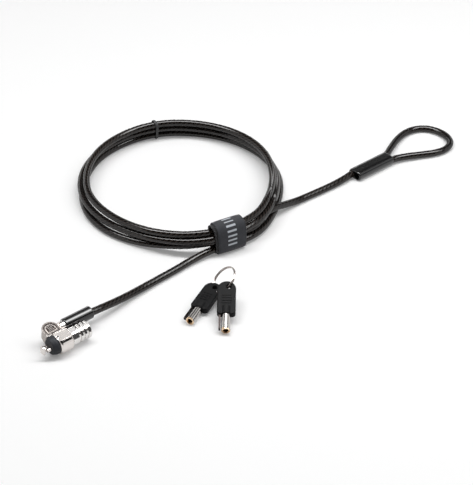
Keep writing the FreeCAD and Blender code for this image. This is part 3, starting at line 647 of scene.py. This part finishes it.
CABLE_RADIUS = 2.75 * MM
TWIST_LENGTH = 24 * MM       # left-hand lay of the strands
PER_STRAND = 5               # points round the jacket over each strand
LOBE_DEPTH = 0.010           # of the radius, between two strands
AROUND = STRANDS * PER_STRAND


def cable_rings(line):
    """Rings of points round the line that follow the strands' twist, and the run to each ring."""
    lobes = [1 - LOBE_DEPTH * (0.5 + 0.5 * math.cos(2 * math.pi * i / PER_STRAND))
             for i in range(AROUND)]
    vertices, runs, run = [], [], 0.0
    tangent = (line[1] - line[0]).normalized()
    side = tangent.orthogonal().normalized()
    for i, point in enumerate(line):
        ahead = line[min(i + 1, len(line) - 1)] - line[max(i - 1, 0)]
        side = tangent.rotation_difference(ahead) @ side
        tangent = ahead.normalized()
        side = (side - tangent * side.dot(tangent)).normalized()
        up = tangent.cross(side)
        if i:
            run += (point - line[i - 1]).length
        runs.append(run)
        twist = -2 * math.pi * run / TWIST_LENGTH
        for j in range(AROUND):
            angle = 2 * math.pi * j / AROUND + twist
            reach = CABLE_RADIUS * lobes[j]
            vertices.append(point + (side * math.cos(angle) + up * math.sin(angle)) * reach)
    return vertices, runs


def stranded_cable(line):
    """Jacketed cable whose surface follows the strands under it."""
    vertices, runs = cable_rings(line)
    faces, uvs = [], []
    for i in range(len(line) - 1):
        here, there = i * AROUND, (i + 1) * AROUND
        for j in range(AROUND):
            k = (j + 1) % AROUND
            faces.append((here + j, here + k, there + k, there + j))
            left, right = j / PER_STRAND, (j + 1) / PER_STRAND
            uvs += [(left, runs[i]), (right, runs[i]), (right, runs[i + 1]), (left, runs[i + 1])]
    for end, order in ((0, -1), (len(line) - 1, 1)):
        faces.append([end * AROUND + j for j in range(AROUND)][::order])
        uvs += [(0.5, runs[end])] * AROUND
    return mesh_piece("cable", vertices, faces, uvs)


def make_cable():
    line = smooth_line(cable_route())
    cable = stranded_cable(line)
    cable.data.materials.append(jacketed_strands())
    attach(cable, "cable")
    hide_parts("cable_lead_lock", "cable_coil", "cable_lead_loop", "eye_loop")
    return cable, line


# ------------------------------------------------------------------ strap
STRAP_LENGTH, STRAP_DEPTH, STRAP_HEIGHT = 25.5, 15.4, 25.2
STRAP_LAYER = 1.0
WEB_THICK = STRAP_LAYER - 0.04
WEB_EDGE = WEB_THICK / 2     # radius of its rounded edges
FACE_START = 2.0 - STRAP_LENGTH / 2
LINING_START = FACE_START - 1.9
STRAP_SQUARENESS = 3.2       # 2 would be a plain ellipse
WEB_GROOVE = (1.3, 0.35, -0.10)      # groove inside each edge: place from it, width, height
WEB_RIPPLE, RIPPLE_BEAT, RIPPLE_START = 0.16, 0.55, 0.4      # height, then radians in a sine
TABLE_GAP = 0.06
GIRTH_STEPS = 168
EDGE_STEPS, INSIDE_STEPS, OUTSIDE_STEPS = 6, 12, 24


def rounded(value, power):
    return math.copysign(abs(value) ** power, value)


def strap_section(inset):
    """Points, outward directions and girth run round the bundle, from the middle of its top."""
    depth, height = STRAP_DEPTH / 2 - inset, STRAP_HEIGHT / 2 - inset
    places, outs = [], []
    for i in range(GIRTH_STEPS):
        turn = 2 * math.pi * i / GIRTH_STEPS
        across, up = (rounded(math.sin(turn), 2 / STRAP_SQUARENESS),
                      rounded(math.cos(turn), 2 / STRAP_SQUARENESS))
        places.append(Vector((depth * across, height * up)))
        outs.append(Vector((rounded(across, STRAP_SQUARENESS - 1) / depth,
                            rounded(up, STRAP_SQUARENESS - 1) / height)).normalized())
    runs = [0.0]
    for i in range(1, GIRTH_STEPS + 1):
        runs.append(runs[-1] + (places[i % GIRTH_STEPS] - places[i - 1]).length)
    girth = runs[-1]
    return [(place, out, run if run < girth / 2 else run - girth)
            for place, out, run in zip(places, outs, runs)]


def webbing_profile(low, high):
    """Outline of a cut across the band: along the cables, and out from its outer face."""
    first, last = low + WEB_EDGE, high - WEB_EDGE
    span = high - low - WEB_THICK
    rounding = [math.pi / 2 + math.pi * i / EDGE_STEPS for i in range(EDGE_STEPS + 1)]
    near = [(first + WEB_EDGE * math.cos(angle), -WEB_EDGE + WEB_EDGE * math.sin(angle))
            for angle in rounding]
    inside = [(first + span * i / INSIDE_STEPS, -WEB_THICK) for i in range(1, INSIDE_STEPS)]
    far = [(last - WEB_EDGE * math.cos(angle), -WEB_EDGE - WEB_EDGE * math.sin(angle))
           for angle in rounding]
    outside = [(last - span * i / OUTSIDE_STEPS, 0.0) for i in range(1, OUTSIDE_STEPS)]
    return near + inside + far + outside


def webbing(name, inset, low, high, bulge, lean):
    """A closed band of webbing, low to high along the cables, crowned and a little rippled."""
    profile, section = webbing_profile(low, high), strap_section(inset)
    count = len(profile)
    vertices, faces, uvs = [], [], []
    for place, out, run in section:
        for along, rise in profile:
            share = (along - low) / (high - low)
            ripple = WEB_RIPPLE * math.sin(run * RIPPLE_BEAT + RIPPLE_START)
            ripple *= math.sin(math.pi * share) * (0.4 if rise < -WEB_EDGE else 1.0)
            reach = rise + bulge * (4 * share * (1 - share)) ** 0.5 + ripple
            if rise > -WEB_EDGE / 2:
                reach += swell(min(along - low, high - along), *WEB_GROOVE)
            spot = place + out * reach
            height = max(spot.y + STRAP_HEIGHT / 2, TABLE_GAP)
            slipped = along - lean * (1 - share) * place.y / STRAP_HEIGHT
            vertices.append(Vector(in_strap(slipped, spot.x, height)) * MM)
    for i in range(GIRTH_STEPS):
        k = (i + 1) % GIRTH_STEPS
        start, end = section[i][2], section[k][2]
        if end < start:
            end = start + section[1][2] - section[0][2]
        for j in range(count):
            m = (j + 1) % count
            faces.append((i * count + j, i * count + m, k * count + m, k * count + j))
            uvs += [(run * MM, profile[corner][0] * MM)
                    for run, corner in ((start, j), (start, m), (end, m), (end, j))]
    return mesh_piece(name, vertices, faces, uvs)


def make_strap():
    high = STRAP_LENGTH / 2
    face = webbing("strap_face", 0.0, FACE_START, high, 0.45, 0.8)
    face.data.materials.append(woven_face())
    lining = webbing("strap_lining", STRAP_LAYER, LINING_START, high - 1.2, 0.05, 1.6)
    lining.data.materials.append(loop_lining())
    for piece, node in ((face, "strap_outer_layer"), (lining, "strap_inner_layer")):
        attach(piece, "cable")
        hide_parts(node)
    return face, lining


# ------------------------------------------------------------------ tie
TIE_WIDTH, TIE_THICKNESS = 2.3, 1.05
TIE_CLEAR, TIE_TABLE_GAP = 0.04, 0.03
TIE_SLANT = Vector((0.9, 0.7))       # aside at the outer turn, and at the top
TIE_ROUNDNESS = 0.8          # of its cross-section; 1 would be an ellipse
TIE_STEPS, TIE_RING = 96, 12


def make_tie():
    """Narrow band pulled round the three turns where they lie together."""
    bundle = [Vector((turn_radius(turn, TIE_AZIMUTH), height + TIE_LIFT))
              for turn, height in enumerate(TURN_HEIGHTS)]
    vertices, faces = [], []
    for i in range(TIE_STEPS):
        turn = 2 * math.pi * i / TIE_STEPS
        out = Vector((math.cos(turn), math.sin(turn)))
        core = max(bundle, key=lambda middle: middle.dot(out))
        middle = core + out * (CABLE_RADIUS / MM + TIE_THICKNESS / 2 + TIE_CLEAR)
        slant = out.dot(TIE_SLANT)
        for j in range(TIE_RING):
            bend = 2 * math.pi * j / TIE_RING
            spot = middle + out * (TIE_THICKNESS / 2 * rounded(math.cos(bend), TIE_ROUNDNESS))
            aside = slant + TIE_WIDTH / 2 * rounded(math.sin(bend), TIE_ROUNDNESS)
            azimuth = TIE_AZIMUTH + math.degrees(aside / spot.x)
            height = max(spot.y, TIE_TABLE_GAP)
            vertices.append(Vector(round_coil(azimuth, spot.x, height)) * MM)
        here, there = i * TIE_RING, (i + 1) % TIE_STEPS * TIE_RING
        for j in range(TIE_RING):
            k = (j + 1) % TIE_RING
            faces.append((here + j, here + k, there + k, there + j))
    tie = mesh_piece("coil_band", vertices, faces)
    tie.data.materials.append(ribbed_tie())
    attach(tie, "cable")
    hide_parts("coil_tie")
    return tie


# ------------------------------------------------------------------ studio
MIDDLE = Vector((0.19, 0.05, 0.0))
# Directions over the floor as the camera sees them.
BEHIND, ASIDE, UP = Vector((0.65, 0.76, 0)), Vector((0.76, -0.65, 0)), Vector((0, 0, 1))
FLOOR_LINES = (-3.0, -1.5, 0.0, 1.5, 3.0)
FLOOR_GAP = 0.00002
FLOOR_GLOW = 0.15            # brings the bare floor to white where it is seen
ROOM_LIGHT = 0.24            # the world's light on the object; the world itself looks white
CAMERA_PLACE = Vector((-0.4967, -0.7812, 0.7559))
CAMERA_TARGET = Vector((0.1863, 0.0186, -0.0082))
CAMERA_LENS, CAMERA_SENSOR = 126.98, 36      # in millimetres


def make_floor():
    """Wide floor that stays white to the eye and keeps the shadows."""
    size = len(FLOOR_LINES)
    vertices = [(x, y, FLOOR_MM * MM - FLOOR_GAP) for x in FLOOR_LINES for y in FLOOR_LINES]
    faces = [(i * size + j, (i + 1) * size + j, (i + 1) * size + j + 1, i * size + j + 1)
             for i in range(size - 1) for j in range(size - 1)]
    floor = mesh_piece("studio_floor", vertices, faces)
    f = Finish("studio_floor")
    f.shade(base_color=(0.86, 0.86, 0.86), roughness=1.0, specular_ior_level=0.0)
    shine = {"Color": (1.0, 1.0, 1.0), "Strength": f.in_sight() * FLOOR_GLOW}
    glow = f.node("ShaderNodeEmission", {}, shine)
    both = f.node("ShaderNodeAddShader", {}, {0: Value(f, f.shader.outputs[0]), 1: glow})
    f.plug(f.tree.nodes["Material Output"].inputs["Surface"], both)
    floor.data.materials.append(f.material)


def facing(rig, place, long_way):
    """Put a lamp or card at a place, facing the middle, with its width along long_way."""
    back = (place - MIDDLE).normalized()
    across = (long_way - back * long_way.dot(back)).normalized()
    turn = Matrix((across, back.cross(across), back)).transposed()
    rig.matrix_world = Matrix.Translation(place) @ turn.to_4x4()


def soft_box(name, place, long_way, width, height, radiance):
    lamp = bpy.data.lights.new(name, "AREA")
    lamp.shape = "RECTANGLE"
    lamp.size, lamp.size_y = width, height
    lamp.energy = radiance * math.pi * width * height
    rig = bpy.data.objects.new(name, lamp)
    bpy.context.scene.collection.objects.link(rig)
    facing(rig, place, long_way)


def card(name, place, width, height, glow):
    """Card that only reflections see, black or bright, to shape gloss and plating."""
    corners = [(-width / 2, -height / 2, 0), (width / 2, -height / 2, 0),
               (width / 2, height / 2, 0), (-width / 2, height / 2, 0)]
    board = mesh_piece(name, corners, [(0, 1, 2, 3)])
    f = Finish(name)
    board.data.materials.append(f.done(
        base_color=(0.012, 0.012, 0.012), roughness=1.0, specular_ior_level=0.0,
        emission_color=(1.0, 1.0, 1.0), emission_strength=glow))
    board.visible_camera = board.visible_diffuse = board.visible_shadow = False
    board.visible_transmission = board.visible_volume_scatter = False
    facing(board, place, ASIDE)


def around(behind, up, aside=0.0):
    """A place in the studio, seen from the middle."""
    return MIDDLE + BEHIND * behind + UP * up + ASIDE * aside


def make_world():
    """Even light on the object, and white wherever the world itself is seen."""
    world = bpy.data.worlds.new("studio")
    bpy.context.scene.world = world
    sky = Shading(world, "Background")
    sky.shade(color=(1, 1, 1), strength=sky.in_sight() * (1 - ROOM_LIGHT) + ROOM_LIGHT)


def make_studio():
    make_floor()
    make_world()
    soft_box("strip_box", around(0.06, 1.2), ASIDE, 1.7, 0.32, 7.8)
    soft_box("side_box", Vector((0.76, -0.62, 0.90)), Vector((1, 0, 0)), 0.36, 0.55, 3.8)
    card("shine_card", around(0.06, 1.25), 1.9, 0.66, 6.5)
    card("front_card", around(-0.95, 0.52), 3.0, 0.85, 0.0)
    card("side_card", Vector((0.72, -0.96, 0.50)), 0.8, 0.46, 0.0)
    card("top_card", around(-0.2, 1.45), 3.2, 2.2, 0.0)
    card("back_card", around(1.15, 0.8), 3.0, 1.45, 0.10)
    card("low_card", around(1.1, 0.42), 2.8, 0.11, 4.0)
    card("flat_card", around(0.77, 1.25, 0.19), 0.5, 0.36, 1.0)


def make_camera():
    camera = bpy.data.cameras.new("camera")
    camera.lens = CAMERA_LENS
    camera.sensor_width = CAMERA_SENSOR
    rig = bpy.data.objects.new("camera", camera)
    rig.location = CAMERA_PLACE
    rig.rotation_euler = (CAMERA_TARGET - CAMERA_PLACE).to_track_quat("-Z", "Y").to_euler()
    bpy.context.scene.collection.objects.link(rig)
    bpy.context.scene.camera = rig


paint_nodes()
cable, cable_line = make_cable()
strap_face, strap_lining = make_strap()
tie = make_tie()
make_studio()
make_camera()
bpy.context.scene.view_settings.view_transform = "Standard"
